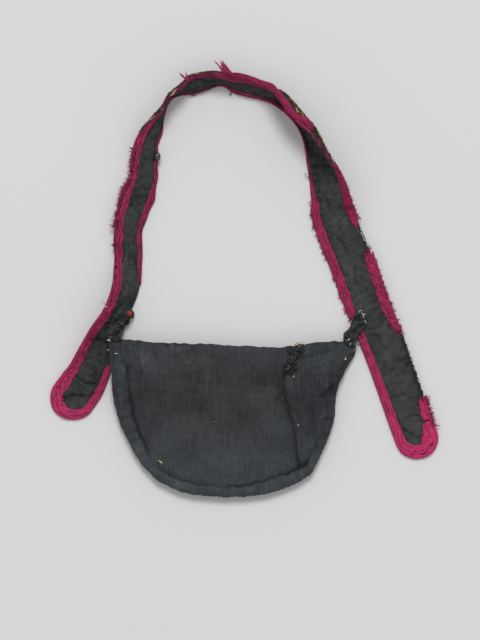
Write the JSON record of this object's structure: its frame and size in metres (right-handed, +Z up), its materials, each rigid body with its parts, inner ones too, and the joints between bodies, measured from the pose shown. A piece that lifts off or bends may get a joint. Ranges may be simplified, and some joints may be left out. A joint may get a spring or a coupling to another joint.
{
  "type": "betel nut bag",
  "caption": "Soft cloth pouch with an open mouth, hung on a wide looped strap with floss-bound edges and round tails, lying flat; it carries betel nuts.",
  "frame": {"origin": "centre of the bounding box's footprint, on the surface that the bag lies on", "axes": "+Z up from the surface, +Y from the pouch towards the strap's arch, +X to the right as seen from above"},
  "size_m": [0.3514, 0.3942, 0.033],
  "materials": {
    "cloth": "plain-woven dark cotton, faded",
    "floss": "magenta embroidery floss laid in strands",
    "tie_cloth": "crumpled dark cotton",
    "darn_thread": "thick dark darning thread",
    "bead": "polished dark seed bead"
  },
  "bodies": {
    "root": {"lower_panel": "cloth", "upper_panel": "cloth", "edge_band": "cloth", "strap": "cloth", "binding_outer": "floss", "binding_outer_right": "floss", "binding_inner": "floss", "binding_right_tail": "floss", "left_tie": "tie_cloth", "right_tie": "tie_cloth", "mend": "darn_thread", "edge_bead": "bead"}
  },
  "joints": []
}
